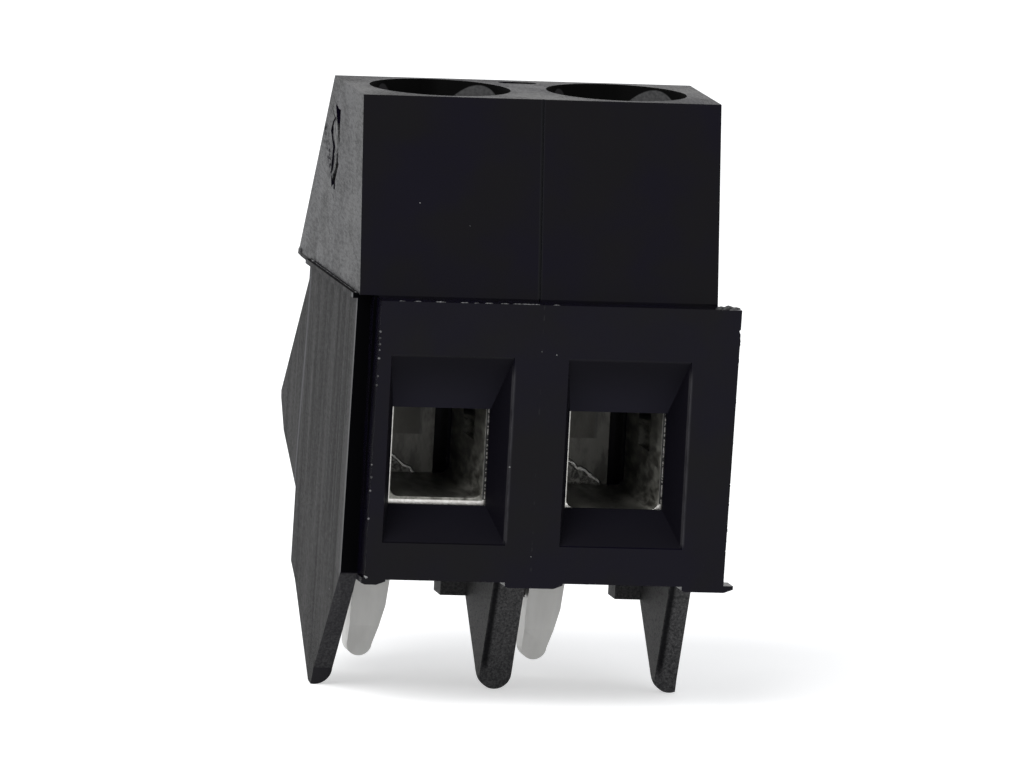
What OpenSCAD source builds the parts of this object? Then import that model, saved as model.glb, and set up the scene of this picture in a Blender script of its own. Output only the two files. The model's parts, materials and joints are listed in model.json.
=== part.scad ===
// Two-pole rising-cage screw terminal for printed circuit boards.
// Millimetres, +Z up off the board, wires enter from -Y, poles stand side by side along X.
// Origin: on the board's top face, midway between the two solder pins.

/* [Poles] */

// centre to centre of the poles
pole_pitch = 5.08; // [5.0:0.01:5.4]
// clear width of one pole's chamber
chamber_w = 4.26; // [4.2:0.01:4.36]
// plastic left outside the last partition's middle on the right
right_over = 0.04; // [0.0:0.01:0.2]
// plastic left outside the first partition's middle by the saw
sawn_over = 0.04; // [0.0:0.01:0.2]
// how far the tower's side stands proud of the sawn panel
tower_proud = 0.03; // [0.02:0.01:0.15]
// how far the saw ran outwards, from the ledge down to the ribs' tips
saw_askew = 0.14; // [0:0.01:0.15]

/* [Tower] */

// top of the tower above the front plate's lower edge
tower_top = 13.5; // [13.3:0.1:15]
// lower edge of the tower's front face
ledge = 7.95; // [7.92:0.01:8.2]
// how far the front face leans back over its height
tower_lean = 0.95; // [0.85:0.01:0.96]
// depth of the flat top
tower_top_depth = 4.45; // [4.42:0.01:5.2]
// reach of the tower's lower back edge
tower_reach = 9.3; // [8.8:0.1:10]
// width and depth of the seam groove between poles in front
seam = 0.06; // [0.04:0.01:0.12]
// width of the groove between poles at the back
back_groove_w = 0.66; // [0.4:0.02:0.7]
// depth of that groove
back_groove_d = 0.6; // [0.4:0.05:0.8]
// how far below the rim the groove begins
back_groove_low = 0.6; // [0.4:0.1:1.0]
// width across and length along the poles of the pocket in the flat top
pocket_w = 0.4; // [0.3:0.05:0.5]
pocket_len = 1.1; // [0.8:0.1:1.2]

/* [Lower body] */

// depth of the lower body behind the front plate
body_depth = 8.0; // [7.8:0.1:8.6]
// how much less deep it is at the top
body_taper = 0.12; // [0.1:0.01:0.5]
// top of the lower body's back face
body_top = 7.85; // [7.8:0.01:7.9]
// lower edge of the back wall, below the front plate's edge
back_drop = 0.77; // [0.4:0.01:1.0]
// reach of the wedges on the back
wedge_reach = 11.1; // [10.4:0.1:11.6]
// height of the wedges' edge
wedge_edge = 3.6; // [3.2:0.1:4.0]
// gap between neighbouring wedges
wedge_gap = 0.4; // [0.2:0.05:0.6]

/* [Front plate] */

// thickness of the front plate
plate_t = 0.75; // [0.6:0.01:0.9]
// tongue on the right past the body, and rebate on the left
tongue = 0.55; // [0.4:0.01:0.6]
// rebate beside the plate on the sawn side
rebate = 0.38; // [0.3:0.01:0.42]
// depth of the rebate behind the plate
rebate_depth = 0.45; // [0.3:0.01:0.5]
// how far the plate's broken right edge runs in towards the board
plate_slant = 0.12; // [0.0:0.01:0.2]
// height of the plate
plate_h = 7.89; // [7.6:0.01:7.9]
// height of the feet under the plate
foot_h = 0.15; // [0.1:0.01:0.3]
// width of a foot
foot_w = 1.7; // [1.2:0.1:2.0]

/* [Wire entry] */

// width of the funnel's mouth
mouth_w = 3.53; // [3.2:0.01:3.8]
// lower edge of the mouth
mouth_low = 1.04; // [0.8:0.01:1.3]
// upper edge of the mouth
mouth_high = 6.4; // [6.0:0.01:6.8]
// depth of the funnel
funnel_d = 1.28; // [1.15:0.01:1.32]
// width of the window
window_w = 2.8; // [2.7:0.01:2.9]
// lower edge of the window
window_low = 1.98; // [1.96:0.01:2.1]
// upper edge of the window
window_high = 4.74; // [4.5:0.01:4.8]

/* [Cage] */

// width of the opening inside the cage
cage_in_w = 2.65; // [2.5:0.01:2.8]
// sheet thickness of the cage
cage_t = 0.72; // [0.6:0.01:0.75]
// length of the cage along the wire
cage_len = 5.0; // [4.4:0.05:5.05]
// gap between a cage and the front of its chamber
cage_gap = 0.1; // [0.05:0.01:0.15]
// top of the cage's floor when let right down
cage_low = 1.95; // [1.9:0.01:2.0]
// clear height inside the cage
cage_in_h = 4.05; // [4.0:0.01:4.2]
// radius inside the cage's corners
cage_r = 0.25; // [0.15:0.01:0.4]
// thickness of the folded, tapped top
cage_top = 1.5; // [1.2:0.05:1.55]
// full travel of the cage
travel = 2.4; // [2.0:0.1:2.4]
// how far the first pole's cage is already lifted
lifted = 0.22; // [0.0:0.01:0.6]

/* [Screw] */

// thread diameter
thread_d = 3.0; // [2.5:0.1:3.2]
// radial play in the tapped top, threads drawn smooth
thread_play = 0.05; // [0.02:0.01:0.09]
// head diameter
head_d = 3.4; // [3.2:0.05:3.45]
// head height
head_h = 1.9; // [1.6:0.1:2.0]
// underside of the head
head_low = 10.05; // [10.0:0.01:10.2]
// width of the slot
slot_w = 0.7; // [0.5:0.05:0.8]
// depth of the slot
slot_d = 0.95; // [0.7:0.05:1.1]
// access hole in the tower
access_d = 4.0; // [3.9:0.02:4.02]
// depth of the access hole above the screw's own well
access_h = 1.5; // [1.3:0.1:1.6]
// radial play of the head in its well
head_play = 0.08; // [0.04:0.01:0.09]
// plastic left in front of the access hole at the rim
rim_wall = 0.24; // [0.2:0.01:0.3]

/* [Contact] */

// thickness of the contact strip
strip_t = 1.0; // [0.8:0.01:1.0]
// underside of the bar above the wire
bar_low = 4.86; // [4.82:0.01:4.9]
// play of the bar in the cage, each side
bar_play = 0.1; // [0.05:0.01:0.2]
// width of the leg behind the cage
leg_w = 2.1; // [1.8:0.01:2.3]
// gap between the cage and the leg
leg_gap = 0.15; // [0.1:0.01:0.16]
// width of the solder pin
pin_w = 1.0; // [0.9:0.01:1.1]
// solder pin's middle, left of the pole's middle
pin_off = 0.6; // [0.5:0.01:0.62]
// length of the pin below the board's top face
pin_len = 3.05; // [2.6:0.05:3.5]
// how far the pins are bent aside at their tips
pin_bent = 0.35; // [0:0.05:0.4]

/* [Ribs] */

// width of a creepage rib
rib_w = 0.92; // [0.8:0.01:1.0]
// tip of the ribs below the front plate's edge
rib_tip = 3.7; // [3.4:0.05:3.9]
// half width of the blocks behind the ribs
block_half = 1.23; // [1.0:0.01:1.24]
// lower face of those blocks
block_low = 1.38; // [1.1:0.01:1.5]

/* [Hidden] */

poles = 2;
e = 0.01;
// the body between its sawn side and its right side
x_left = -pole_pitch * poles / 2 - sawn_over;
x_right = pole_pitch * poles / 2 + right_over;
// the chambers
chamber_y = -plate_t + funnel_d + 0.12;
cage_y = chamber_y + cage_gap;
cage_back = cage_y + cage_len;
screw_y = tower_lean + rim_wall + access_d / 2;
leg_y = cage_back + leg_gap;
leg_back = leg_y + strip_t;
bar_w = cage_in_w - 2 * bar_play;
bar_high = bar_low + strip_t;
slot_half = bar_w / 2 + 0.03;
chamber_top = head_low - 0.06;
screw_low = bar_high + 0.02;
tapped_from = screw_low - cage_low - travel - 0.1;
// the board's face and the middle of the solder pins
seat = -foot_h;
pin_y = leg_y + strip_t / 2;

function pole_x(i) = (i - (poles - 1) / 2) * pole_pitch;

// everything is drawn from the front plate's lower edge and then set on the board
module placed() {
    translate([pin_off, -pin_y, -seat])
        children();
}

// an outline in Y and Z, run along X
module along_x(x0, x1) {
    translate([x0, 0, 0])
        rotate([90, 0, 90])
            linear_extrude(height = x1 - x0)
                children();
}

// an outline in X and Z, run along Y
module along_y(y0, y1) {
    translate([0, y1, 0])
        rotate([90, 0, 0])
            linear_extrude(height = y1 - y0)
                children();
}

module box(x0, x1, y0, y1, z0, z1) {
    translate([x0, y0, z0])
        cube([x1 - x0, y1 - y0, z1 - z0]);
}

// rectangle about X = 0 with round corners, standing on z0
module round_rect(w, z0, z1, r) {
    translate([-w / 2 + r, z0])
        square([w - 2 * r, z1 - z0]);
    translate([-w / 2, z0 + r])
        square([w, z1 - z0 - 2 * r]);
    for (x = [-w / 2 + r, w / 2 - r], z = [z0 + r, z1 - r])
        translate([x, z])
            circle(r = r, $fn = 24);
}

// ---------------------------------------------------------------- housing

// the leaning tower over the lower body
module tower() {
    y_back = tower_lean + tower_top_depth;
    along_x(x_left - tower_proud, x_right)
        polygon([
            [0, ledge], [tower_lean, tower_top], [y_back, tower_top],
            [tower_reach + 0.3, ledge - 0.02], [tower_reach, ledge - 0.12],
            [body_depth - body_taper - 0.2, ledge - 0.15], [0, ledge - 0.15]
        ]);
}

module lower_body() {
    along_x(x_left - saw_askew, x_right)
        polygon([
            [0, 0], [0, ledge - e], [body_depth - body_taper, ledge - e],
            [body_depth - body_taper, body_top - 0.5], [body_depth, 3.2],
            [body_depth, -back_drop], [leg_back + 0.01, -back_drop], [leg_back - 0.6, 0]
        ]);
}

// the wedge each pole carries on its back
module back_wedge(i) {
    x0 = i == 0 ? x_left - saw_askew : pole_x(i) - pole_pitch / 2 + wedge_gap / 2;
    x1 = i == poles - 1 ? x_right : pole_x(i) + pole_pitch / 2 - wedge_gap / 2;
    along_x(x0, x1)
        polygon([
            [body_depth - body_taper - 0.2, body_top - 0.35], [body_depth - body_taper, body_top - 0.5],
            [wedge_reach, wedge_edge + 0.1], [wedge_reach - 0.05, wedge_edge - 0.1],
            [wedge_reach - 0.75, wedge_edge - 0.95], [body_depth, 1.35], [body_depth - 0.3, 1.35]
        ]);
}

module front_plate() {
    along_y(-plate_t, 0.2)
        polygon([
            [x_left + rebate, 0], [x_right + tongue - plate_slant, 0],
            [x_right + tongue, plate_h], [x_left + rebate + plate_slant * 0.75, plate_h]
        ]);
}

// the part of the plate's back that is let out beside the body for the next block
module tongue_relief() {
    box(x_right, x_right + tongue + 1, 0, 0.3, -1, ledge + 1);
}

// the rebate beside the plate, deeper than the plate is thick
module side_rebate() {
    box(x_left - 1, x_left + rebate, -1, rebate_depth, -1, ledge);
}

// the saw ran a little askew below the tower
module saw_plane() {
    along_y(-1, wedge_reach + 1)
        polygon([
            [x_left - 1, ledge - 0.15], [x_left, ledge - 0.15],
            [x_left - saw_askew, -rib_tip - 0.1], [x_left - 1, -rib_tip - 0.1]
        ]);
}

module plate_feet() {
    for (i = [0 : poles]) {
        x = (i - poles / 2) * pole_pitch + 0.12;
        left = max(x - foot_w / 2, x_left + rebate - 0.1);
        right = min(x + foot_w / 2, x_right + tongue + 0.2);
        along_y(-plate_t, 0)
            polygon([
                [left, 0.05], [left, seat + 0.04], [left + 0.1, seat],
                [right - 0.3, seat], [right - 0.04, seat + 0.1], [right - 0.04, 0.05]
            ]);
    }
}

// creepage ribs that pass through slots in the board
module rib_side(front, back) {
    polygon([
        [front, 0.4], [front, 0], [front + 1.55, -rib_tip + 0.45], [front + 1.7, -rib_tip],
        [front + 1.95, -rib_tip], [front + 2.1, -rib_tip + 0.4], [back, -1.05], [back, 0.4]
    ]);
}

module rib_front(x) {
    translate([x - rib_w / 2, -rib_tip + rib_w / 2])
        square([rib_w, rib_tip + 0.5]);
    translate([x, -rib_tip + rib_w / 2])
        circle(d = rib_w, $fn = 32);
}

module ribs() {
    for (i = [1 : poles]) {
        x = (i - poles / 2) * pole_pitch;
        intersection() {
            along_x(max(x - rib_w, x_left), min(x + rib_w, x_right + 0.14))
                rib_side(2.0, 6.6);
            along_y(0, body_depth)
                rib_front(x);
        }
    }
    // the rib the saw went through, wider at its root
    intersection() {
        along_x(x_left - saw_askew, x_left + rib_w)
            polygon([
                [0.5, 0.4], [0.5, 0], [2.5, -2.1], [3.57, -3.18], [3.85, -rib_tip],
                [4.3, -rib_tip + 0.05], [7.2, -1.21], [body_depth, -back_drop], [body_depth, 0.4]
            ]);
        along_y(0, body_depth)
            rib_front(x_left - 0.05);
    }
}

// blocks at the rear of every partition
module blocks() {
    for (i = [0 : poles]) {
        x = (i - poles / 2) * pole_pitch;
        box(max(x - block_half, x_left - saw_askew), min(x + block_half, x_right), leg_y + 0.1, leg_back + 0.1,
            -block_low, 0.4);
    }
}

// partitions run down to the board between the poles
module partition_roots() {
    half = (pole_pitch - chamber_w) / 2;
    for (i = [0 : poles]) {
        x = (i - poles / 2) * pole_pitch;
        box(max(x - half, x_left - saw_askew), min(x + half, x_right), 0, leg_back, 0, 0.5);
    }
}

// wire funnel: four flat sides closing in on the window
module funnel(x) {
    y0 = -plate_t - e;
    y1 = -plate_t + funnel_d;
    intersection() {
        translate([x, 0, 0])
            linear_extrude(height = tower_top)
                polygon([[-mouth_w / 2, y0], [mouth_w / 2, y0], [window_w / 2, y1], [-window_w / 2, y1]]);
        along_x(x - mouth_w, x + mouth_w)
            polygon([[y0, mouth_low], [y0, mouth_high], [y1, window_high], [y1, window_low]]);
    }
    box(x - window_w / 2, x + window_w / 2, y1 - e, chamber_y + e, window_low, window_high);
}

// chamber of the cage, open to the board, and the slot the contact is pushed up into
module chamber(x) {
    box(x - chamber_w / 2, x + chamber_w / 2, chamber_y, leg_y, -2, chamber_top);
    box(x - slot_half, x + slot_half, leg_y - e, leg_back, -2, bar_high);
    translate([x, screw_y, chamber_top - e])
        cylinder(d = head_d + 2 * head_play, h = tower_top, $fn = 96);
    translate([x, screw_y, tower_top - access_h])
        cylinder(d = access_d, h = access_h + 1, $fn = 96);
}

module seams() {
    // narrow groove down the tower's front
    for (i = [1 : poles - 1]) {
        x = (i - poles / 2) * pole_pitch;
        translate([x, 0, 0])
            linear_extrude(height = tower_top + 1)
                polygon([[-seam / 2, -0.01], [0, seam], [seam / 2, -0.01]]);
        intersection() {
            box(x - seam / 2, x + seam / 2, -1, 3, ledge, tower_top + 1);
            along_x(x - 1, x + 1)
                polygon([
                    [-1, ledge + 0.02], [seam, ledge + 0.02],
                    [tower_lean + seam, tower_top + e], [-1, tower_top + e]
                ]);
        }
        // broad groove down its back, begun below the rim
        along_x(x - back_groove_w / 2, x + back_groove_w / 2)
            polygon([
                [tower_lean + tower_top_depth - back_groove_d, tower_top - back_groove_low],
                [tower_reach + 1, tower_top - back_groove_low],
                [tower_reach + 1, ledge], [tower_reach - back_groove_d + 0.3, ledge]
            ]);
        // shallow pocket in the flat top
        translate([x, tower_lean + tower_top_depth - 0.57, tower_top - 0.3]) {
            translate([-(pocket_len - pocket_w) / 2, -pocket_w / 2, 0])
                cube([pocket_len - pocket_w, pocket_w, 1]);
            for (side = [-1, 1])
                translate([side * (pocket_len - pocket_w) / 2, 0, 0])
                    cylinder(d = pocket_w, h = 1, $fn = 32);
        }
    }
}

// plastic torn out of the tower's side
module torn_scar() {
    x = x_left - tower_proud;
    along_x(x - 1, x + 0.24)
        polygon([[5.2, 12.95], [4.6, 12.65], [4.25, 12.65], [4.25, 11.9], [4.1, 11.6], [4.55, 12.0]]);
    along_x(x - 1, x + 0.12)
        polygon([
            [4.9, 12.4], [4.35, 11.9], [4.3, 11.2], [4.6, 10.55], [5.1, 10.35], [5.3, 10.75],
            [5.15, 11.5], [5.6, 11.9], [5.35, 12.2]
        ]);
    along_x(x - 1, x + 0.2)
        polygon([[4.45, 11.3], [4.2, 11.1], [4.6, 10.6], [4.55, 10.2], [4.2, 9.55], [4.75, 10.1], [4.8, 10.5]]);
}

// small breaks along the right edge of the plate
module edge_breaks() {
    x = x_right + tongue;
    for (b = [[2.95, 0.09, 0.22], [1.05, 0.13, 0.1], [7.3, 0.05, 0.12]])
        along_y(-plate_t - 1, 1)
            polygon([[x + 1, b[0] - b[2]], [x, b[0] - b[2]], [x - b[1], b[0]], [x, b[0] + b[2] / 2], [x + 1, b[0] + b[2] / 2]]);
}

module housing() {
    color([0.09, 0.09, 0.1])
        placed()
            difference() {
                union() {
                    difference() {
                        union() {
                            tower();
                            lower_body();
                            for (i = [0 : poles - 1])
                                back_wedge(i);
                            front_plate();
                            partition_roots();
                        }
                        tongue_relief();
                        side_rebate();
                        for (i = [0 : poles - 1]) {
                            funnel(pole_x(i));
                            chamber(pole_x(i));
                        }
                    }
                    plate_feet();
                    blocks();
                    ribs();
                }
                seams();
                torn_scar();
                saw_plane();
                edge_breaks();
            }
}

// ---------------------------------------------------------------- contacts

// one stamped strip: bar over the wire, leg behind the cage, solder pin through the board
module contact(i) {
    tip = seat - pin_len;
    x_pin = -pin_off;
    x_leg = -bar_w / 2;
    color([0.78, 0.76, 0.7])
        placed()
            translate([pole_x(i), 0, 0]) {
                intersection() {
                    union() {
                        box(-bar_w / 2, bar_w / 2, cage_y - 0.05, leg_back, bar_low, bar_high);
                        box(-bar_w / 2, bar_w / 2, leg_y, leg_back, bar_low - 0.35, bar_high);
                        box(x_leg, x_leg + leg_w, leg_y, leg_back, 0.6, bar_low);
                        along_y(leg_y, leg_back)
                            polygon([
                                [x_leg, 0.7], [x_leg, 0.45], [x_pin - pin_w / 2, 0], [x_pin - pin_w / 2, -0.1],
                                [x_pin + pin_w / 2, -0.1], [x_pin + pin_w / 2, 0], [x_leg + leg_w, 0.45], [x_leg + leg_w, 0.7]
                            ]);
                    }
                    // the strip is bent round at its rear upper corner
                    along_x(-bar_w, bar_w) {
                        r = strip_t * 0.75;
                        square([leg_back, bar_high - r]);
                        translate([0, -1])
                            square([leg_back - r, bar_high + 1]);
                        translate([0, -1])
                            square([leg_back, bar_high + 1 - r]);
                        translate([leg_back - r, bar_high - r])
                            circle(r = r, $fn = 48);
                    }
                }
                solder_pin(x_pin, tip);
            }
}

// flat pin, narrowing to a rounded tip
module solder_pin(x, tip) {
    r = pin_w * 0.36;
    intersection() {
        along_y(leg_y, leg_back) {
            polygon([
                [x - pin_w / 2, 0], [x - pin_w / 2, seat],
                [x - pin_w / 2 - pin_bent * 0.5, tip + 1.5], [x - pin_bent - r, tip + r],
                [x - pin_bent + r, tip + r], [x + pin_w / 2 - pin_bent * 0.5, tip + 1.5],
                [x + pin_w / 2, seat], [x + pin_w / 2, 0]
            ]);
            translate([x - pin_bent, tip + r])
                circle(r = r, $fn = 32);
        }
        along_x(x - pin_w - pin_bent, x + pin_w)
            polygon([
                [leg_y, 1], [leg_y, tip + 0.9], [leg_y + 0.3, tip - 0.1],
                [leg_back - 0.12, tip - 0.1], [leg_back, tip + 0.5], [leg_back, 1]
            ]);
    }
}

// ---------------------------------------------------------------- cages

// bent sheet tube with a folded, tapped top
module cage(i) {
    z0 = cage_low + (i == 0 ? lifted : 0);
    out_w = cage_in_w + 2 * cage_t;
    z_top = z0 + cage_in_h + cage_top;
    color([0.72, 0.71, 0.69])
        placed()
            translate([pole_x(i), 0, 0])
                difference() {
                    along_y(cage_y, cage_back)
                        difference() {
                            round_rect(out_w, z0 - cage_t, z_top, cage_r + 0.2);
                            round_rect(cage_in_w, z0, z0 + cage_in_h, cage_r);
                        }
                    // the tap has also cut into the side walls, as far down as the screw ever reaches
                    translate([0, screw_y, z0 + tapped_from])
                        cylinder(d = thread_d + 2 * thread_play, h = cage_in_h + cage_top, $fn = 64);
                }
}

// ---------------------------------------------------------------- screws

module screw(i) {
    color([0.7, 0.69, 0.66])
        placed()
            translate([pole_x(i), screw_y, 0])
                difference() {
                    union() {
                        translate([0, 0, screw_low + 0.3])
                            cylinder(d = thread_d, h = head_low - screw_low, $fn = 64);
                        translate([0, 0, screw_low])
                            cylinder(d1 = thread_d - 0.7, d2 = thread_d, h = 0.3 + e, $fn = 64);
                        translate([0, 0, head_low])
                            cylinder(d = head_d, h = head_h - 0.2, $fn = 96);
                        translate([0, 0, head_low + head_h - 0.2 - e])
                            cylinder(d1 = head_d, d2 = head_d - 0.4, h = 0.2 + e, $fn = 96);
                    }
                    rotate([0, 0, 25 + 40 * i])
                        box(-slot_w / 2, slot_w / 2, -head_d, head_d, head_low + head_h - slot_d, tower_top);
                }
}

module contact_1() {
    contact(0);
}

module contact_2() {
    contact(1);
}

module cage_1() {
    cage(0);
}

module cage_2() {
    cage(1);
}

module screw_1() {
    screw(0);
}

module screw_2() {
    screw(1);
}

housing();
contact_1();
contact_2();
cage_1();
cage_2();
screw_1();
screw_2();
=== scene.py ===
"""Looks of a two-pole rising-cage screw terminal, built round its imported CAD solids.

Lengths are metres in the row frame: +Z off the board, wires enter from -Y, poles side by side along X.
Small marks are placed in millimetres from ORIGIN, the middle of the front plate's lower edge.
"""

import json
import math
import random

import bmesh
import bpy
from mathutils import Matrix, Vector, noise
from mathutils.bvhtree import BVHTree


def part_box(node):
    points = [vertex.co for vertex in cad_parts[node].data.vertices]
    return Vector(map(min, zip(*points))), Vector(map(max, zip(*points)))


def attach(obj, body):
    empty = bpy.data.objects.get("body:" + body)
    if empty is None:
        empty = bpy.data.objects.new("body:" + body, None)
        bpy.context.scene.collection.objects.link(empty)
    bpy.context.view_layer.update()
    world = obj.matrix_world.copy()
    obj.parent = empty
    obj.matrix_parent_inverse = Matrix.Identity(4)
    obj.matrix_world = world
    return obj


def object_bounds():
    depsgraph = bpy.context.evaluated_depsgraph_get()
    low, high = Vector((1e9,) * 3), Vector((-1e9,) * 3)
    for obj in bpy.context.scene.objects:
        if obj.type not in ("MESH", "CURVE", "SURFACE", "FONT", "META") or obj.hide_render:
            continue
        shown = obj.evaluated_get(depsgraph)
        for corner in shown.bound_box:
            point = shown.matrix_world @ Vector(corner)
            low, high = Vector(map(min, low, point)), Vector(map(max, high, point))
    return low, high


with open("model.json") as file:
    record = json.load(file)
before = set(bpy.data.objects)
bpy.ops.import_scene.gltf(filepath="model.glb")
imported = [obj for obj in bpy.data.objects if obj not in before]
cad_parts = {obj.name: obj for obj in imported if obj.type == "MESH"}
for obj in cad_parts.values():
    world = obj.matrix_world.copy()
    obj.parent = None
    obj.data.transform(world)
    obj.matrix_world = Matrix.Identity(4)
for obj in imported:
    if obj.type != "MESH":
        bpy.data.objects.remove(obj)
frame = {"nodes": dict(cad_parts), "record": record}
cad_low, cad_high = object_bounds()

MM = 0.001
NODES = frame["nodes"]
MOUNTS = {m["name"]: Vector(m["pos_m"]) for m in frame["record"]["mounts"]}
POLES = ("1", "2")
SCREW = {i: MOUNTS["screwdriver_access_" + i] for i in POLES}
PITCH = SCREW["2"].x - SCREW["1"].x

PLATE_T = 0.75 * MM
FOOT_H = 0.15 * MM
BORE_R = 2.0 * MM       # screwdriver bores in the tower
THREAD_R = 1.5 * MM
THREAD_PITCH = 0.5 * MM
HOUSING_LOW, HOUSING_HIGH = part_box("housing")
ORIGIN = Vector(((SCREW["1"].x + SCREW["2"].x) / 2, HOUSING_LOW.y + PLATE_T, MOUNTS["board_seat"].z + FOOT_H))
LEDGE = 7.95            # lower edge of the tower, in mm above ORIGIN
SIDE = -5.15            # the tower's left side
PANEL = -5.12           # the sawn panel below it, at its top
PANEL_RUN = 0.14 / 11.75  # the panel's slant outwards
PLATE = -0.75           # the plate's front
LEAN = 0.95 / 5.55      # lean of the tower's front
FLASH_ROOT = 0.03       # how far flash reaches into the surface it grows from
HOUSING_EDGE, STRIP_EDGE, SCREW_EDGE = 0.07 * MM, 0.05 * MM, 0.04 * MM  # rounding of the edges

CAMERA_AZIMUTH, CAMERA_ELEVATION, CAMERA_ROLL = 11.379, 7.466, 2.992    # degrees
CAMERA_PLACE = (-100.01, -493.60, 71.52)                                # mm from ORIGIN
CAMERA_LENS, CAMERA_SENSOR = 634.9, 36.0                                # mm
KEY_OFFSET, KEY_SIZE, KEY_POWER = Vector((-0.28, -0.30, 0.42)), 0.35, 2.6
SKY_COLOUR, SKY_STRENGTH = (0.95, 0.97, 1.0, 1), 0.62
FLOOR_HALF, FLOOR_GLOW = 1.5, 0.5


def at(x, y, z):
    return ORIGIN + Vector((x, y, z)) * MM


# ---------------------------------------------------------------- shader helpers

class Shader:
    """A material with a Principled shader, and short calls to add nodes to it."""

    def __init__(self, name):
        self.material = bpy.data.materials.new(name)
        self.material.use_nodes = True
        self.tree = self.material.node_tree
        self.bsdf = self.tree.nodes["Principled BSDF"]
        place = self.tree.nodes.new("ShaderNodeMapping")   # millimetres from ORIGIN
        place.inputs["Location"].default_value = -ORIGIN / MM
        place.inputs["Scale"].default_value = (1 / MM,) * 3
        texture = self.tree.nodes.new("ShaderNodeTexCoord")
        self.tree.links.new(texture.outputs["Object"], place.inputs["Vector"])
        self.where = place.outputs[0]
        self.x, self.y, self.z = self.split(self.where)
        geometry = self.tree.nodes.new("ShaderNodeNewGeometry")
        self.nx, self.ny, self.nz = self.split(geometry.outputs["True Normal"])

    def split(self, vector):
        node = self.tree.nodes.new("ShaderNodeSeparateXYZ")
        self.tree.links.new(vector, node.inputs[0])
        return node.outputs[0], node.outputs[1], node.outputs[2]

    def put(self, socket, value):
        """Links an output to a socket, or sets a constant on it."""
        if isinstance(value, bpy.types.NodeSocket):
            self.tree.links.new(value, socket)
        else:
            socket.default_value = value

    def set(self, **sockets):
        for name, value in sockets.items():
            self.put(self.bsdf.inputs[name.replace("_", " ")], value)
        return self

    def math(self, operation, *values, clamp=False):
        node = self.tree.nodes.new("ShaderNodeMath")
        node.operation, node.use_clamp = operation, clamp
        for socket, value in zip(node.inputs, values):
            self.put(socket, value)
        return node.outputs[0]

    def all_of(self, *masks):
        out = masks[0]
        for mask in masks[1:]:
            out = self.math("MULTIPLY", out, mask)
        return out

    def scaled(self, scale):
        node = self.tree.nodes.new("ShaderNodeMapping")
        self.put(node.inputs["Vector"], self.where)
        node.inputs["Scale"].default_value = scale
        return node.outputs[0]

    def noise(self, size, detail=3.0, roughness=0.55, stretch=(1, 1, 1), distortion=0.0):
        """Noise whose grains are about size millimetres across, stretched along an axis."""
        node = self.tree.nodes.new("ShaderNodeTexNoise")
        self.put(node.inputs["Vector"], self.scaled([1 / (size * s) for s in stretch]))
        node.inputs["Scale"].default_value = 1.0
        node.inputs["Detail"].default_value = detail
        node.inputs["Roughness"].default_value = roughness
        node.inputs["Distortion"].default_value = distortion
        return node.outputs["Fac"]

    def ramp(self, value, low, high, to_low=0.0, to_high=1.0):
        node = self.tree.nodes.new("ShaderNodeMapRange")
        node.interpolation_type = "SMOOTHSTEP"
        ends = {"Value": value, "From Min": low, "From Max": high, "To Min": to_low, "To Max": to_high}
        for name, v in ends.items():
            self.put(node.inputs[name], v)
        return node.outputs[0]

    def below(self, value, limit, soft=0.02):
        return self.ramp(value, limit - soft, limit + soft, 1.0, 0.0)

    def above(self, value, limit, soft=0.02):
        return self.ramp(value, limit - soft, limit + soft)

    def mix(self, factor, a, b):
        """Mixes two colours, or two numbers."""
        node = self.tree.nodes.new("ShaderNodeMix")
        colour = any(isinstance(v, tuple) or getattr(v, "type", None) == "RGBA" for v in (a, b))
        node.data_type = "RGBA" if colour else "FLOAT"
        self.put(node.inputs["Factor"], factor)
        names = (6, 7, 2) if colour else (2, 3, 0)
        for index, value in zip(names, (a, b)):
            self.put(node.inputs[index], (*value, 1.0) if isinstance(value, tuple) else value)
        return node.outputs[names[2]]

    def stroke(self, start, end, width, soft=0.5):
        """1 along a line on the left side, between two (y, z) points."""
        (y0, z0), (y1, z1) = start, end
        length = math.hypot(y1 - y0, z1 - z0)
        ty, tz = (y1 - y0) / length, (z1 - z0) / length
        dy, dz = self.math("SUBTRACT", self.y, y0), self.math("SUBTRACT", self.z, z0)
        along = self.math("ADD", self.math("MULTIPLY", dy, ty), self.math("MULTIPLY", dz, tz))
        across = self.math("SUBTRACT", self.math("MULTIPLY", dy, tz), self.math("MULTIPLY", dz, ty))
        off = self.math("ABSOLUTE", across)
        return self.all_of(
            self.ramp(off, width * (1 - soft) / 2, width / 2, 1.0, 0.0),
            self.above(along, 0.05, 0.05), self.below(along, length - 0.05, 0.05),
            self.below(self.nx, -0.9, 0.05),
        )

    def bump(self, height, distance, strength=1.0, under=None):
        """height in units of distance millimetres."""
        node = self.tree.nodes.new("ShaderNodeBump")
        node.inputs["Distance"].default_value = distance * MM
        node.inputs["Strength"].default_value = strength
        self.put(node.inputs["Height"], height)
        if under is not None:
            self.put(node.inputs["Normal"], under)
        return node.outputs[0]


# ---------------------------------------------------------------- camera, light and floor

def camera():
    """The camera stands to the left of the wire side, a little above it and tilted."""
    azimuth, elevation, roll = (math.radians(a) for a in (CAMERA_AZIMUTH, CAMERA_ELEVATION, CAMERA_ROLL))
    back = Vector((
        -math.sin(azimuth) * math.cos(elevation), -math.cos(azimuth) * math.cos(elevation), math.sin(elevation),
    ))
    level = Vector((math.cos(azimuth), -math.sin(azimuth), 0))
    right = level * math.cos(roll) + back.cross(level) * math.sin(roll)
    up = back.cross(right)
    data = bpy.data.cameras.new("camera")
    data.lens, data.sensor_width = CAMERA_LENS, CAMERA_SENSOR
    data.clip_start, data.clip_end = 0.01, 10
    o = bpy.data.objects.new("camera", data)
    turned = Matrix((right, up, back)).transposed().to_4x4()
    o.matrix_world = Matrix.Translation(at(*CAMERA_PLACE)) @ turned
    bpy.context.scene.collection.objects.link(o)
    bpy.context.scene.camera = o


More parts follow.
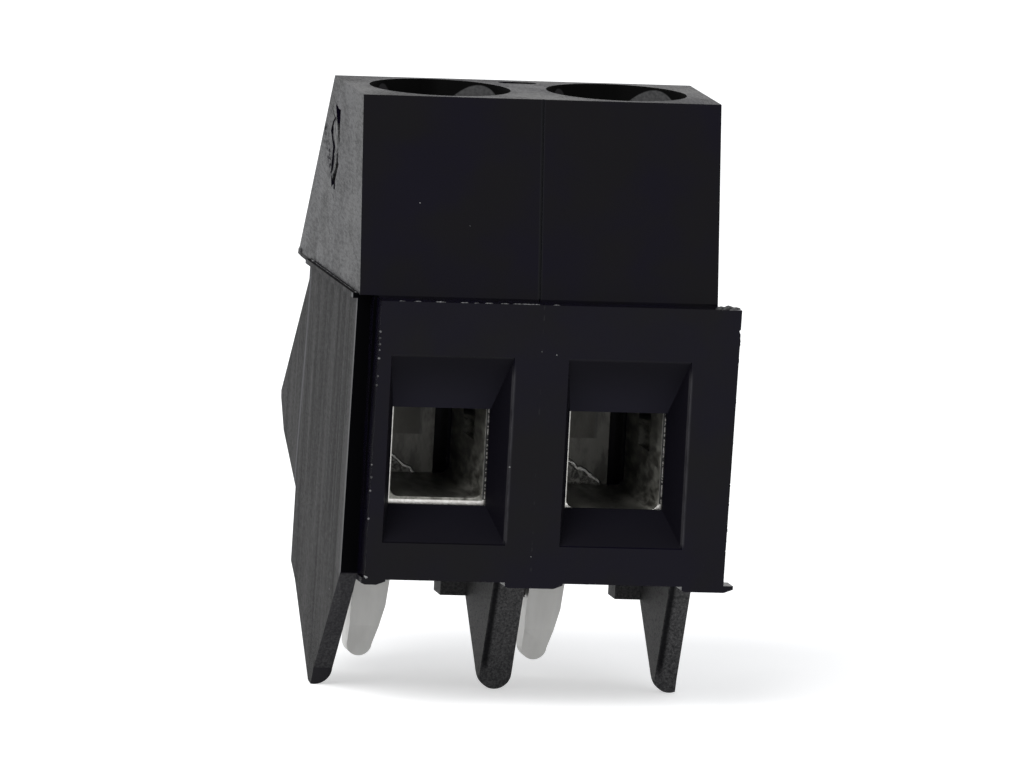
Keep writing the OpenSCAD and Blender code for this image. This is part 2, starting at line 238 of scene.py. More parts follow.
def area_light(name, place, aim, size, power):
    data = bpy.data.lights.new(name, "AREA")
    data.shape, data.size, data.size_y = "RECTANGLE", size[0], size[1]
    data.energy = power
    lamp = bpy.data.objects.new(name, data)
    lamp.location = place
    lamp.rotation_mode = "QUATERNION"
    lamp.rotation_quaternion = (Vector(aim) - Vector(place)).to_track_quat("-Z", "Y")
    bpy.context.scene.collection.objects.link(lamp)


def sees_white(tree, path):
    """1 for rays that should meet the white surroundings: from the camera, and off gloss or glass."""
    out = path.outputs["Is Camera Ray"]
    for name in ("Is Glossy Ray", "Is Transmission Ray"):
        node = tree.nodes.new("ShaderNodeMath")
        node.operation = "MAXIMUM"
        tree.links.new(out, node.inputs[0])
        tree.links.new(path.outputs[name], node.inputs[1])
        out = node.outputs[0]
    return out


def studio():
    world = bpy.data.worlds.new("studio")
    world.use_nodes = True
    tree = world.node_tree
    tree.nodes.clear()
    out = tree.nodes.new("ShaderNodeOutputWorld")
    path = tree.nodes.new("ShaderNodeLightPath")
    soft, white = (tree.nodes.new("ShaderNodeBackground") for _ in range(2))
    pick = tree.nodes.new("ShaderNodeMixShader")
    soft.inputs["Color"].default_value = SKY_COLOUR
    soft.inputs["Strength"].default_value = SKY_STRENGTH
    white.inputs["Color"].default_value = (1, 1, 1, 1)
    tree.links.new(sees_white(tree, path), pick.inputs[0])
    tree.links.new(soft.outputs[0], pick.inputs[1])
    tree.links.new(white.outputs[0], pick.inputs[2])
    tree.links.new(pick.outputs[0], out.inputs[0])
    bpy.context.scene.world = world

    centre = (cad_low + cad_high) / 2
    half, z = FLOOR_HALF, cad_low.z
    mesh = bpy.data.meshes.new("floor")
    corners = [(-half, -half, z), (half, -half, z), (half, half, z), (-half, half, z)]
    mesh.from_pydata(corners, [], [(0, 1, 2, 3)])
    floor = bpy.data.objects.new("floor", mesh)
    bpy.context.scene.collection.objects.link(floor)
    paper = Shader("paper")
    grain = paper.noise(2, detail=2)
    paper.set(Base_Color=paper.mix(grain, (0.74, 0.74, 0.74), (0.78, 0.78, 0.78)), Roughness=0.9)
    paper.bsdf.inputs["Specular IOR Level"].default_value = 0.1
    nodes, links = paper.tree.nodes, paper.tree.links
    path = nodes.new("ShaderNodeLightPath")
    glow = nodes.new("ShaderNodeEmission")
    glow.inputs["Color"].default_value = (1, 1, 1, 1)
    links.new(paper.math("MULTIPLY", sees_white(paper.tree, path), FLOOR_GLOW), glow.inputs["Strength"])
    add = nodes.new("ShaderNodeAddShader")
    links.new(paper.bsdf.outputs[0], add.inputs[0])
    links.new(glow.outputs[0], add.inputs[1])
    links.new(add.outputs[0], nodes["Material Output"].inputs["Surface"])
    mesh.materials.append(paper.material)

    area_light("key", centre + KEY_OFFSET, centre, (KEY_SIZE, KEY_SIZE), KEY_POWER)


# ---------------------------------------------------------------- materials

def black_plastic():
    """Moulded black plastic: smooth on the tower, sawn on the left panel, grainy on the ribs."""
    s = Shader("moulded_black")
    fine = s.noise(0.05, detail=2)
    cloud = s.noise(1.6, detail=5)
    tint = s.noise(2.6, detail=3)

    panel_x = s.math("ADD", s.x, s.math("MULTIPLY", s.math("SUBTRACT", LEDGE, s.z), PANEL_RUN))
    left_face = s.below(s.nx, -0.9, 0.05)
    sawn = s.all_of(left_face, s.below(panel_x, PANEL + 0.03), s.below(s.z, LEDGE - 0.01, 0.01))
    side = s.all_of(left_face, s.below(s.x, SIDE + 0.2, 0.05), s.above(s.z, LEDGE - 0.01, 0.01))
    grainy = s.all_of(s.below(s.z, -0.02, 0.04), s.above(s.y, 0.3, 0.05))
    facing = s.below(s.ny, -0.7, 0.1)

    # smooth skin, here and there a little bluer
    colour = s.mix(s.ramp(tint, 0.35, 0.65), (0.0026, 0.0022, 0.0034), (0.0020, 0.0014, 0.0054))
    speck = s.noise(0.07, detail=3, stretch=(1, 4, 1))
    colour = s.mix(s.all_of(side, s.ramp(speck, 0.62, 0.78)), colour, (0.0010, 0.0010, 0.0010))
    # the tower's left side gets lighter cloudy patches: painted light, as that side faces the lamp
    colour = s.mix(s.math("MULTIPLY", side, s.ramp(cloud, 0.3, 0.7)), colour, (0.012, 0.012, 0.0125))

    # painted light on the funnels' slopes: those facing up are painted lighter, the more so further in
    local = s.math("SUBTRACT", s.math("FLOORED_MODULO", s.x, PITCH / MM), PITCH / MM / 2)
    funnel = s.all_of(
        s.above(s.y, PLATE + 0.04), s.below(s.y, 1.0), s.below(s.math("ABSOLUTE", local), 1.9),
        s.above(s.z, 0.8), s.below(s.z, 6.5),
    )
    slope = s.math("MULTIPLY", funnel, s.above(s.math("ABSOLUTE", s.nz), 0.25, 0.05))
    colour = s.mix(funnel, colour, (0.0026, 0.0022, 0.0046))
    inward = s.ramp(s.y, PLATE, 0.9)
    facing_up = s.above(s.nz, 0.0)
    slope_painted_light = s.mix(facing_up, (0.018, 0.017, 0.026), (0.0030, 0.0027, 0.0058))
    colour = s.mix(s.all_of(slope, inward), colour, slope_painted_light)

    # a painted highlight down the right edge of each mouth, where its rounded corner catches light
    mouth_edge_highlight = s.all_of(
        s.ramp(s.math("ABSOLUTE", s.math("SUBTRACT", local, 1.755)), 0.01, 0.085, 1.0, 0.0),
        s.below(s.y, PLATE + 0.12), s.above(s.z, 1.15, 0.1), s.below(s.z, 6.0, 0.25),
        s.ramp(s.noise(0.14, detail=3, stretch=(1, 1, 4)), 0.25, 0.6, 0.35, 1.0),
    )
    colour = s.mix(mouth_edge_highlight, colour, (0.030, 0.029, 0.033))

    # grains of the ribs; their left side faces are painted lighter as painted light, and a painted shade stripe
    # runs down the left of their fronts
    grains = s.noise(0.075, detail=5, roughness=0.8, stretch=(1, 2.5, 1))
    grain_colour = s.mix(s.ramp(grains, 0.36, 0.68), (0.040, 0.040, 0.041), (0.125, 0.123, 0.124))
    rib_side_painted_light = s.math("MULTIPLY", left_face, s.ramp(grains, 0.3, 0.6))
    grain_colour = s.mix(rib_side_painted_light, grain_colour, (0.110, 0.109, 0.108))
    grain_colour = s.mix(s.math("MULTIPLY", s.below(s.x, -4.0), facing), grain_colour, (0.026, 0.025, 0.028))
    lane = s.math("SUBTRACT", s.math("FLOORED_MODULO", s.x, PITCH / MM), PITCH / MM - 0.36)
    rib_corner_painted_shade = s.all_of(
        facing, s.ramp(s.math("ABSOLUTE", lane), 0.03, 0.15, 1.0, 0.0), s.above(s.x, -1.0), s.above(s.z, -3.1, 0.3),
    )
    grain_colour = s.mix(s.math("MULTIPLY", rib_corner_painted_shade, 0.9), grain_colour, (0.006, 0.006, 0.007))
    colour = s.mix(grainy, colour, grain_colour)

    # saw lines run up the panel, a little askew, with grains torn out between them
    lines = s.noise(0.20, detail=5, roughness=0.7, stretch=(1, 1, 40))
    bands = s.noise(0.75, detail=2, stretch=(1, 1, 14))
    torn = s.noise(0.07, detail=4, roughness=0.75, stretch=(1, 4, 1.5))
    cut = s.math("ADD", lines, s.math("ADD", s.math("MULTIPLY", bands, 0.7), s.math("MULTIPLY", torn, 0.55)))
    sawn_colour = s.mix(s.ramp(cut, 0.90, 1.38), (0.004, 0.004, 0.0043), (0.054, 0.053, 0.053))
    dark_lane = s.ramp(s.math("ABSOLUTE", s.math("SUBTRACT", s.y, 1.45)), 0.05, 0.22, 1.0, 0.0)
    sawn_colour = s.mix(s.math("MULTIPLY", dark_lane, 0.6), sawn_colour, (0.004, 0.004, 0.004))
    # a light band along the panel's front edge: a burr, its brightness a painted highlight where the edge catches
    # light
    ragged = s.ramp(lines, 0.3, 0.7, -0.12, 0.12)
    burr_highlight = s.below(s.math("ADD", s.y, ragged), 0.66, 0.16)
    sawn_colour = s.mix(s.all_of(burr_highlight, s.above(s.z, -0.2, 0.2)), sawn_colour, (0.11, 0.11, 0.114))
    back_line = s.math("SUBTRACT", s.y, s.ramp(s.z, 1.5, 7.0, 8.15, 7.68))
    back_line = s.all_of(s.ramp(s.math("ABSOLUTE", back_line), 0.03, 0.14, 1.0, 0.0), s.above(s.z, 1.4, 0.3))
    sawn_colour = s.mix(back_line, sawn_colour, (0.075, 0.075, 0.081))
    colour = s.mix(sawn, colour, sawn_colour)

    # painted shade: the rebate beside the plate is coloured near black, as it lies in the dark
    rebate = s.all_of(
        s.below(s.x, -4.60), s.above(s.y, PLATE + 0.05), s.below(s.z, LEDGE), s.above(s.z, 0.0),
        s.above(s.nx, -0.85, 0.03),
    )
    colour = s.mix(rebate, colour, (0.0006, 0.0006, 0.0010))

    # cracks, scratches and the torn place on the tower's side
    marks = (
        ((5.50, 12.62), (4.75, 12.25), 0.20), ((4.46, 12.66), (4.24, 11.95), 0.10),
        ((6.85, 11.50), (6.15, 11.56), 0.07), ((6.20, 11.56), (5.45, 11.40), 0.06),
        ((5.50, 11.42), (5.38, 10.86), 0.09), ((2.30, 11.65), (1.65, 10.31), 0.05),
        ((5.75, 9.98), (4.84, 8.86), 0.06), ((6.9, 9.55), (6.6, 9.05), 0.04),
        ((3.2, 10.9), (2.9, 10.1), 0.03),
    )
    for start, end, width in marks:
        mark = s.math("MULTIPLY", s.stroke(start, end, width), 0.85)
        colour = s.mix(mark, colour, (0.0004, 0.0004, 0.0004))
    bruise = s.math(
        "MULTIPLY", s.stroke((6.5, 12.0), (5.2, 10.7), 1.5, soft=1.0),
        s.ramp(s.noise(0.16, detail=4, roughness=0.7, stretch=(1, 3, 1)), 0.42, 0.60),
    )
    crease = s.math(
        "MAXIMUM", s.stroke((5.5, 12.62), (4.75, 12.25), 0.2), s.stroke((2.3, 11.65), (1.65, 10.31), 0.05),
    )
    crease = s.math("MAXIMUM", crease, s.stroke((5.75, 9.98), (4.84, 8.86), 0.06))

    # the boundary between the poles shows as a few light dashes down the plate
    dashes = s.ramp(s.noise(0.12, detail=2, stretch=(1, 1, 2)), 0.55, 0.7)
    joint = s.all_of(
        s.below(s.math("ABSOLUTE", s.x), 0.015, 0.01), s.below(s.z, LEDGE), s.below(s.y, 0.1), dashes,
    )
    colour = s.mix(s.math("MULTIPLY", joint, 0.7), colour, (0.018, 0.018, 0.019))
    # the groove between the poles on the tower is painted lighter: painted light against the shade in the groove
    seam = s.all_of(s.below(s.math("ABSOLUTE", s.x), 0.06, 0.02), s.above(s.z, LEDGE), s.below(s.y, 1.2))
    colour = s.mix(seam, colour, (0.006, 0.006, 0.008))

    # painted light on the bores' walls: an arched patch lighter to the right, and a fainter one to the left
    deep = s.math("SUBTRACT", s.y, (SCREW["1"].y - ORIGIN.y) / MM)
    turn = s.math("ARCTAN2", local, deep)
    radius = s.math("SQRT", s.math("ADD", s.math("MULTIPLY", local, local), s.math("MULTIPLY", deep, deep)))
    wall = s.all_of(
        s.below(radius, BORE_R / MM + 0.04, 0.01), s.above(s.z, 12.0),
        s.below(s.math("ABSOLUTE", s.nz), 0.3, 0.1),
    )
    depth = s.math("SUBTRACT", (HOUSING_HIGH.z - ORIGIN.z) / MM, s.z)

    def arch_patch(middle, half, lip, fall):
        off = s.math("DIVIDE", s.math("SUBTRACT", turn, math.radians(middle)), math.radians(half))
        arch = s.math("ADD", lip, s.math("MULTIPLY", s.math("MULTIPLY", off, off), fall))
        return s.ramp(s.math("SUBTRACT", depth, arch), -0.015, 0.03)

    colour = s.mix(wall, colour, (0.0022, 0.0022, 0.0022))
    bore_light_patch = s.all_of(wall, arch_patch(46, 25, 0.07, 0.42))
    bore_light_patch_colour = s.mix(s.ramp(speck, 0.3, 0.7), (0.036, 0.036, 0.037), (0.062, 0.062, 0.063))
    colour = s.mix(bore_light_patch, colour, bore_light_patch_colour)
    colour = s.mix(s.all_of(wall, arch_patch(-44, 10, 0.10, 0.30), 0.5), colour, (0.045, 0.043, 0.046))

    rough = s.ramp(cloud, 0.3, 0.7, 0.20, 0.28)
    rough = s.mix(s.math("MAXIMUM", wall, s.math("MAXIMUM", rebate, funnel)), rough, 0.62)
    rough = s.mix(grainy, rough, 0.62)
    rough = s.mix(sawn, rough, s.ramp(lines, 0.3, 0.7, 0.52, 0.68))
    gloss = s.mix(s.math("MAXIMUM", rebate, s.math("SUBTRACT", wall, bore_light_patch)), 0.10, 0.02)
    # the tower's side and top are seen at a glancing angle, and their skin is dulled by fine pits
    top = s.all_of(s.above(s.nz, 0.9, 0.05), s.above(s.z, 13.0))
    cloudy = s.math("MULTIPLY", s.math("SUBTRACT", cloud, 0.5), 0.4)
    dulled = s.mix(s.ramp(s.math("ADD", speck, cloudy), 0.32, 0.72), 0.026, 0.009)
    gloss = s.mix(s.math("MAXIMUM", side, top), gloss, s.mix(top, dulled, s.math("MULTIPLY", dulled, 0.55)))
    gloss = s.mix(bruise, gloss, 0.0)
    gloss = s.mix(sawn, gloss, 0.05)
    gloss = s.mix(s.all_of(s.below(s.nz, -0.2, 0.05), s.below(s.z, 0.2)), gloss, 0.004)

    skin = s.bump(fine, 0.0035, 0.6)
    skin = s.bump(s.math("MULTIPLY", side, speck), 0.008, 0.6, under=skin)
    skin = s.bump(s.math("SUBTRACT", 1.0, crease), 0.05, 0.6, under=skin)
    skin = s.bump(s.math("MULTIPLY", grainy, grains), 0.03, 0.8, under=skin)
    skin = s.bump(s.math("MULTIPLY", sawn, lines), 0.05, 0.8, under=skin)
    skin = s.bump(s.math("MULTIPLY", sawn, torn), 0.02, 0.7, under=skin)
    s.set(Base_Color=colour, Roughness=rough, Normal=skin)
    s.put(s.bsdf.inputs["Specular IOR Level"], gloss)
    return s.material


def flash_plastic(name, dark, light):
    """Thin flash and torn bits of the same plastic, whitened where it was strained."""
    s = Shader(name)
    s.set(Base_Color=s.mix(s.ramp(s.noise(0.10, detail=3), 0.40, 0.62), dark, light), Roughness=0.42)
    s.set(Normal=s.bump(s.noise(0.04, detail=3), 0.01, 0.8))
    s.bsdf.inputs["Specular IOR Level"].default_value = 0.4
    return s.material


def cage_metal(i):
    """Plated strip: bright at the cut front edge, smeared and darker inside, partly as painted shade, with the
    tap's cuts in the walls.
    """
    s = Shader("plated_steel_" + i)
    smear = s.noise(0.30, detail=5, roughness=0.65, stretch=(1, 3, 1))
    dx = s.math("SUBTRACT", s.x, (SCREW[i].x - ORIGIN.x) / MM)
    dy = s.math("SUBTRACT", s.y, (SCREW[i].y - ORIGIN.y) / MM)
    cut = s.all_of(s.below(s.ny, -0.5, 0.1), s.below(s.y, 1.2))
    # painted light and shade on the right edge: a row of beads along the inner corner is painted bright as glints,
    # and the rest of its cut face is painted dark
    bead_glints = s.ramp(s.noise(0.075, detail=2, stretch=(3, 3, 1)), 0.44, 0.54)
    bead_glints = s.all_of(bead_glints, s.ramp(s.math("ABSOLUTE", s.math("SUBTRACT", dx, 1.42)), 0.02, 0.045, 1.0, 0.0))
    right = s.all_of(s.above(dx, 1.33, 0.02), s.above(s.z, 2.12, 0.02))
    lip = s.all_of(s.above(s.z, 2.09, 0.015), s.below(s.math("ABSOLUTE", dx), 1.34, 0.02))
    shine = s.all_of(cut, s.math("SUBTRACT", 1.0, lip), s.mix(right, 1.0, bead_glints))
    radius = s.math("SQRT", s.math("ADD", s.math("MULTIPLY", dx, dx), s.math("MULTIPLY", dy, dy)))
    tapped = s.all_of(
        s.below(radius, THREAD_R / MM + 0.07, 0.01), s.above(s.math("ABSOLUTE", dx), 1.2, 0.05),
        s.above(s.z, 3.9, 0.2),
    )
    turned = s.math("DIVIDE", s.math("ARCTAN2", dy, dx), 2 * math.pi)
    turns = s.math("ADD", s.math("DIVIDE", s.z, THREAD_PITCH / MM), turned)
    groove = s.math("PINGPONG", turns, 0.5)
    # inside the cage the strip is darker: smeared metal, partly painted shade
    dull_and_shaded = s.mix(s.ramp(smear, 0.34, 0.68), (0.05, 0.048, 0.040), (0.34, 0.335, 0.30))
    # painted shade on the floor: darker in the middle, lighter towards the sides
    off_middle = s.math("ABSOLUTE", s.math("SUBTRACT", dx, 0.1))
    floor = s.all_of(s.above(s.nz, 0.7), s.ramp(off_middle, 0.3, 1.0, 1.0, 0.25))
    dull_and_shaded = s.mix(floor, dull_and_shaded, (0.05, 0.05, 0.045))
    # the tap's grooves are painted dark: painted shade in the grooves
    dull_and_shaded = s.mix(s.all_of(tapped, s.above(groove, 0.30, 0.08)), dull_and_shaded, (0.02, 0.02, 0.02))
    # painted shade on the right edge's cut face
    dull_and_shaded = s.mix(s.all_of(cut, right), dull_and_shaded, (0.02, 0.02, 0.02))
    bright = s.mix(s.ramp(s.noise(0.15, detail=3), 0.35, 0.65), (0.62, 0.60, 0.57), (0.80, 0.79, 0.76))
    s.set(
        Base_Color=s.mix(shine, dull_and_shaded, bright),
        Metallic=s.mix(shine, 0.45, 1.0),
        Roughness=s.mix(shine, s.ramp(smear, 0.3, 0.7, 0.30, 0.50), 0.34),
        Normal=s.bump(smear, 0.015, 0.6, under=s.bump(s.math("MULTIPLY", tapped, groove), 0.25, 0.7)),
    )
    return s.material


def contact_metal(i):
    """Tinned strip: even and pale on the pin; darker on the leg inside, partly as painted shade, with a darker
    field and a fold painted bright as a highlight.
    """
    s = Shader("tinned_copper_" + i)
    smear = s.noise(0.35, detail=5, roughness=0.6, stretch=(1, 1, 2.5))
    inside = s.above(s.z, -0.3, 0.25)
    front = s.below(s.y, 6.0)
    dx = s.math("SUBTRACT", s.x, (SCREW[i].x - ORIGIN.x) / MM)
    # a darker field at the upper left, and below a raised fold that runs down to the right, painted near white as a
    # highlight
    field = s.all_of(s.below(dx, 0.45, 0.02), s.above(s.z, 3.25, 0.015), front)
    off_rim = s.math("ABSOLUTE", s.math("SUBTRACT", dx, 0.48))
    rim = s.all_of(s.ramp(off_rim, 0.01, 0.06, 1.0, 0.0), s.above(s.z, 3.25), front)
    wobble = s.ramp(s.noise(0.4, detail=2), 0.3, 0.7, -0.06, 0.06)
    fold = s.math("ADD", s.math("ADD", s.z, s.math("MULTIPLY", dx, 0.70)), wobble)
    off = s.math("SUBTRACT", fold, 2.42)
    ridge_and_highlight = s.all_of(s.ramp(s.math("ABSOLUTE", off), 0.02, 0.075, 1.0, 0.0), front, s.below(dx, 0.68, 0.03))
    under = s.all_of(s.below(off, 0.0), front)
    # the leg inside is darker: dull metal, partly painted shade
    dull_and_shaded = s.mix(s.ramp(smear, 0.34, 0.66), (0.06, 0.058, 0.052), (0.20, 0.196, 0.18))
    dull_and_shaded = s.mix(s.math("MULTIPLY", field, 0.75), dull_and_shaded, (0.045, 0.043, 0.036))
    dull_and_shaded = s.mix(s.math("MULTIPLY", rim, 0.5), dull_and_shaded, (0.03, 0.03, 0.03))
    mottle = s.ramp(s.noise(0.16, detail=4, roughness=0.7, distortion=0.6), 0.38, 0.64)
    dull_and_shaded = s.mix(under, dull_and_shaded, s.mix(mottle, (0.035, 0.034, 0.031), (0.26, 0.255, 0.235)))
    # painted highlight along the fold
    dull_and_shaded = s.mix(ridge_and_highlight, dull_and_shaded, (0.95, 0.94, 0.90))
    streaks = s.ramp(s.noise(0.5, detail=4, stretch=(1, 1, 3)), 0.3, 0.7)
    pin = s.mix(streaks, (0.60, 0.596, 0.58), (0.66, 0.656, 0.64))
    s.set(
        Base_Color=s.mix(inside, pin, dull_and_shaded),
        Metallic=s.mix(inside, 0.85, 0.5),
        Roughness=s.mix(inside, 0.6, s.ramp(smear, 0.3, 0.7, 0.34, 0.52)),
        Normal=s.bump(smear, 0.01, 0.5, under=s.bump(ridge_and_highlight, 0.08, 0.9)),
    )
    return s.material


def screw_metal(i):
    """Zinc-plated screw: turned rings on the head, rolled thread below."""
    s = Shader("screw_steel_" + i)
    dx = s.math("SUBTRACT", s.x, (SCREW[i].x - ORIGIN.x) / MM)
    dy = s.math("SUBTRACT", s.y, (SCREW[i].y - ORIGIN.y) / MM)
    radius = s.math("SQRT", s.math("ADD", s.math("MULTIPLY", dx, dx), s.math("MULTIPLY", dy, dy)))
    rings = s.math("SINE", s.math("MULTIPLY", radius, 90.0))
    turned = s.math("DIVIDE", s.math("ARCTAN2", dy, dx), 2 * math.pi)
    turns = s.math("SUBTRACT", s.math("DIVIDE", s.z, THREAD_PITCH / MM), turned)
    thread = s.all_of(
        s.math("PINGPONG", turns, 0.5), s.below(s.z, 10.0), s.below(s.math("ABSOLUTE", s.nz), 0.8, 0.1),
    )
    tone = s.noise(0.3, detail=4)
    s.set(
        Base_Color=s.mix(s.ramp(tone, 0.3, 0.7), (0.46, 0.45, 0.42), (0.66, 0.65, 0.62)),
        Roughness=s.ramp(tone, 0.3, 0.7, 0.28, 0.42),
        Normal=s.bump(s.all_of(rings, s.above(s.nz, 0.8)), 0.004, 0.5, under=s.bump(thread, 0.5, 0.9)),
    )
    s.bsdf.inputs["Metallic"].default_value = 1.0
    return s.material


def dust_material():
    s = Shader("dust")
    s.set(Base_Color=s.mix(s.noise(0.05), (0.12, 0.12, 0.12), (0.30, 0.30, 0.30)), Roughness=0.8)
    return s.material


# ---------------------------------------------------------------- CAD nodes

def dress(name, material):
    o = NODES[name]
    o.data.materials.clear()
    o.data.materials.append(material)
    return o


def soften(o, width, segments=2, angle=30):
    """Joins the imported faces and rounds the edges, as moulding and stamping leave them."""
    weld = o.modifiers.new("weld", "WELD")
    weld.merge_threshold = 1e-6
    bevel = o.modifiers.new("bevel", "BEVEL")
    bevel.width, bevel.segments = width, segments
    bevel.limit_method, bevel.angle_limit = "ANGLE", math.radians(angle)
    bevel.harden_normals = True


# ---------------------------------------------------------------- small pieces

def piece(name, bm, material, body="housing"):
    mesh = bpy.data.meshes.new(name)
    bmesh.ops.recalc_face_normals(bm, faces=bm.faces)
    bm.to_mesh(mesh)
    bm.free()
    mesh.materials.append(material)
    o = bpy.data.objects.new(name, mesh)
    bpy.context.scene.collection.objects.link(o)
    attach(o, body)
    return o


HOUSING_TREE = BVHTree.FromPolygons(
    [NODES["housing"].matrix_world @ v.co for v in NODES["housing"].data.vertices],
    [tuple(f.vertices) for f in NODES["housing"].data.polygons],
)


def seat(p, sink=0.0):
    """The nearest point of the housing's surface, in millimetres from ORIGIN, sink below it."""
    hit, normal, _, _ = HOUSING_TREE.find_nearest(at(*p))
    return (hit - normal * sink * MM - ORIGIN) / MM


def flash(bm, start, end, out, width, height, seed, gaps=0.35, step=0.05):
    """A ragged thin fin of plastic from start to end, standing in the direction out, broken by gaps."""
    rng = random.Random(seed)
    start, end, out = Vector(start), Vector(end), Vector(out).normalized()
    along = end - start
    count = max(3, int(along.length / step))
    side = along.cross(out).normalized()
    last = None
    for k in range(count + 1):
        t = k / count
        grown = 0.5 + 0.5 * noise.noise(Vector((seed * 7.1, t * along.length / 0.22, 0.3)))
        if grown < gaps or k in (0, count):
            grown = 0.0
        h = height * grown * rng.uniform(0.6, 1.0)
        w = width * (0.4 + 0.6 * grown)
        c = seat(start + along * t + side * rng.uniform(-0.2, 0.2) * width)
        foot = c - out * FLASH_ROOT
        ring = [bm.verts.new(at(*p)) for p in (foot + side * w / 2, c + out * h, foot - side * w / 2)]
        if last:
            for a in range(3):
                b = (a + 1) % 3
                bm.faces.new((last[a], last[b], ring[b], ring[a]))
        else:
            bm.faces.new(ring)
        last = ring
    bm.faces.new(last)


def blob(bm, place, radius, seed, flat=(1, 1, 1)):
    """A crumb with an uneven surface."""
    made = bmesh.ops.create_icosphere(bm, subdivisions=2, radius=radius * MM)
    centre = at(*place)
    for v in made["verts"]:
        lump = 1 + 0.35 * noise.noise(v.co / (radius * MM) * 1.3 + Vector((seed, seed * 3, 0)))
        v.co = Vector(v.co[k] * flat[k] * lump for k in range(3)) + centre


def slab(bm, outline, face_x, depth, seed, rough):
    """A lump of plastic with an uneven outer face, filling an outline of (y, z) points on the left side."""
    rings = [[bm.verts.new((x, y, z)) for y, z in outline] for x in (face_x, face_x + depth)]
    bm.faces.new(rings[0])
    bm.faces.new(rings[1][::-1])
    for k in range(len(outline)):
        j = (k + 1) % len(outline)
        bm.faces.new((rings[0][j], rings[0][k], rings[1][k], rings[1][j]))
    bmesh.ops.triangulate(bm, faces=bm.faces)
    for _ in range(3):
        bmesh.ops.subdivide_edges(bm, edges=bm.edges, cuts=1, use_grid_fill=True)
    for v in bm.verts:
        if v.co.x < face_x + depth / 2:
            broad = 0.5 + 0.5 * noise.noise(Vector((seed, v.co.y * 2.2, v.co.z * 5.0)))
            v.co.x += rough * broad + 0.3 * rough * noise.noise(v.co * 14)
        v.co = at(*v.co)


def front_of_tower(x, z):
    return (x, (z - LEDGE) * LEAN, z)


camera()
studio()

plastic = black_plastic()
soften(dress("housing", plastic), HOUSING_EDGE)
for i in POLES:
    soften(dress("contact_" + i, contact_metal(i)), STRIP_EDGE)
    soften(dress("cage_" + i, cage_metal(i)), STRIP_EDGE)
    soften(dress("screw_" + i, screw_metal(i)), SCREW_EDGE)

whitened = flash_plastic("whitened_flash", (0.012, 0.012, 0.013), (0.16, 0.16, 0.165))
dark_flash = flash_plastic("dark_flash", (0.006, 0.006, 0.007), (0.035, 0.035, 0.037))
torn = flash_plastic("torn_plastic", (0.004, 0.004, 0.004), (0.050, 0.050, 0.052))

bm = bmesh.new()
flash(bm, (-4.62, PLATE + 0.05, 7.90), (0.45, PLATE + 0.05, 7.90), (0, 0, 1), 0.05, 0.035, 3, gaps=0.55)
piece("ledge_flash", bm, whitened)

bm = bmesh.new()
for k, z in enumerate((7.03, 6.84, 6.66, 6.50, 6.27, 5.76, 5.50, 3.25, 2.90, 2.51, 1.72)):
    blob(bm, seat((-4.72, PLATE, z), 0.012), (0.034, 0.028, 0.032, 0.024)[k % 4], k)
piece("left_edge_beads", bm, whitened)

bm = bmesh.new()
for k, (x, y, z, r) in enumerate((
    (5.02, -0.60, 7.92, 0.09), (5.14, -0.35, 7.94, 0.10), (5.26, -0.50, 7.95, 0.11),
    (5.38, -0.20, 7.95, 0.12),
    (5.46, -0.55, 7.93, 0.07), (5.56, -0.45, 7.95, 0.08), (5.62, -0.30, 7.99, 0.07),
)):
    blob(bm, seat((x, y, z), 0.02), r, k + 3, (1.2, 1, 0.75))
piece("corner_burr", bm, dark_flash)

bm = bmesh.new()
flash(bm, (SIDE, 7.75, LEDGE - 0.03), (SIDE, 0.45, LEDGE - 0.03), (-1, 0, -0.6), 0.03, 0.022, 21, gaps=0.5)
ends = ((7.30, LEDGE - 0.02, 0.05), (7.15, LEDGE + 0.02, 0.04), (0.60, LEDGE - 0.03, 0.04))
for k, (y, z, r) in enumerate(ends):
    blob(bm, seat((SIDE, y, z), 0.01), r, k, (0.6, 1.6, 1))
piece("side_flash", bm, whitened)

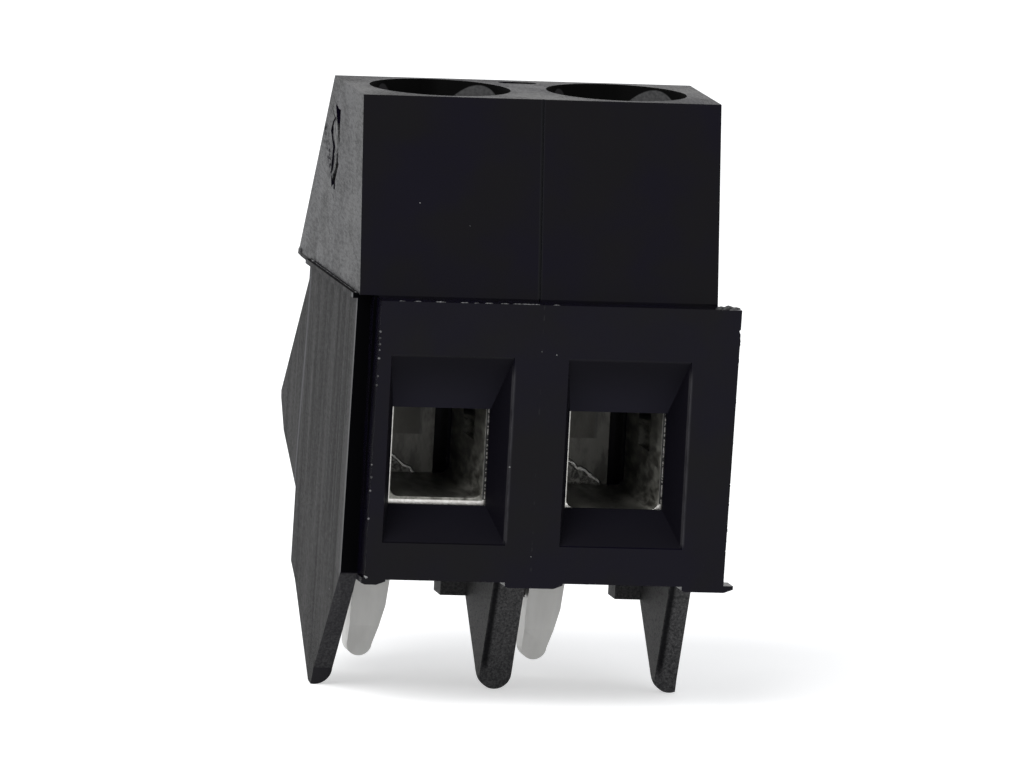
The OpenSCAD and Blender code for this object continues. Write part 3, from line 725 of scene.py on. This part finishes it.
bm = bmesh.new()
flash(bm, (5.64, PLATE + 0.1, 7.7), (5.53, PLATE + 0.1, 0.1), (1, 0, 0), 0.12, 0.045, 31, gaps=0.3)
flash(bm, (-3.9, PLATE + 0.2, 0.0), (-0.9, PLATE + 0.2, 0.0), (0, 0, -1), 0.12, 0.05, 33, gaps=0.4)
flash(bm, (1.1, PLATE + 0.2, 0.0), (4.0, PLATE + 0.2, 0.0), (0, 0, -1), 0.12, 0.05, 34, gaps=0.4)
blob(bm, seat((SIDE, 9.40, LEDGE + 0.02), 0.02), 0.13, 4, (0.6, 1.2, 1))
blob(bm, seat((5.62, PLATE + 0.3, 3.42), 0.02), 0.07, 9)
piece("edge_flash", bm, dark_flash)

bm = bmesh.new()
slab(bm, (
    (5.55, 12.28), (4.95, 12.35), (4.62, 12.00), (4.55, 11.62), (4.66, 11.20), (4.90, 10.95),
    (5.30, 10.32), (5.45, 10.90), (5.30, 11.50), (5.75, 11.90),
), SIDE - 0.004, 0.2, 7, 0.09)
piece("scar_tongue", bm, torn)

bm = bmesh.new()
slab(bm, ((4.85, 10.34), (4.42, 10.34), (4.12, 9.45), (4.40, 9.60)), SIDE - 0.003, 0.2, 2, 0.004)
piece("scar_tail_fill", bm, plastic)
bm = bmesh.new()
slab(bm, ((5.40, 13.05), (4.95, 12.72), (4.75, 12.70), (5.25, 13.05)), SIDE - 0.003, 0.25, 5, 0.004)
piece("scar_head_fill", bm, plastic)

bm = bmesh.new()
for k, (place, radius) in enumerate((
    (front_of_tower(-3.48, 10.54), 0.024), (front_of_tower(-2.04, 9.94), 0.012),
    ((0.42, PLATE, 6.49), 0.024), ((-0.01, PLATE, 6.57), 0.014), ((-0.81, PLATE, 3.28), 0.026),
    ((-0.02, PLATE, 0.75), 0.018), ((-0.81, PLATE, 4.39), 0.012), ((-4.70, PLATE, 0.06), 0.06),
    ((-5.21, 1.96, -0.69), 0.030),
)):
    blob(bm, seat(place, radius * 0.7), radius, k)
piece("dust", bm, dust_material())

# ---------------------------------------------------------------- end

bpy.context.scene.view_settings.view_transform = "Standard"
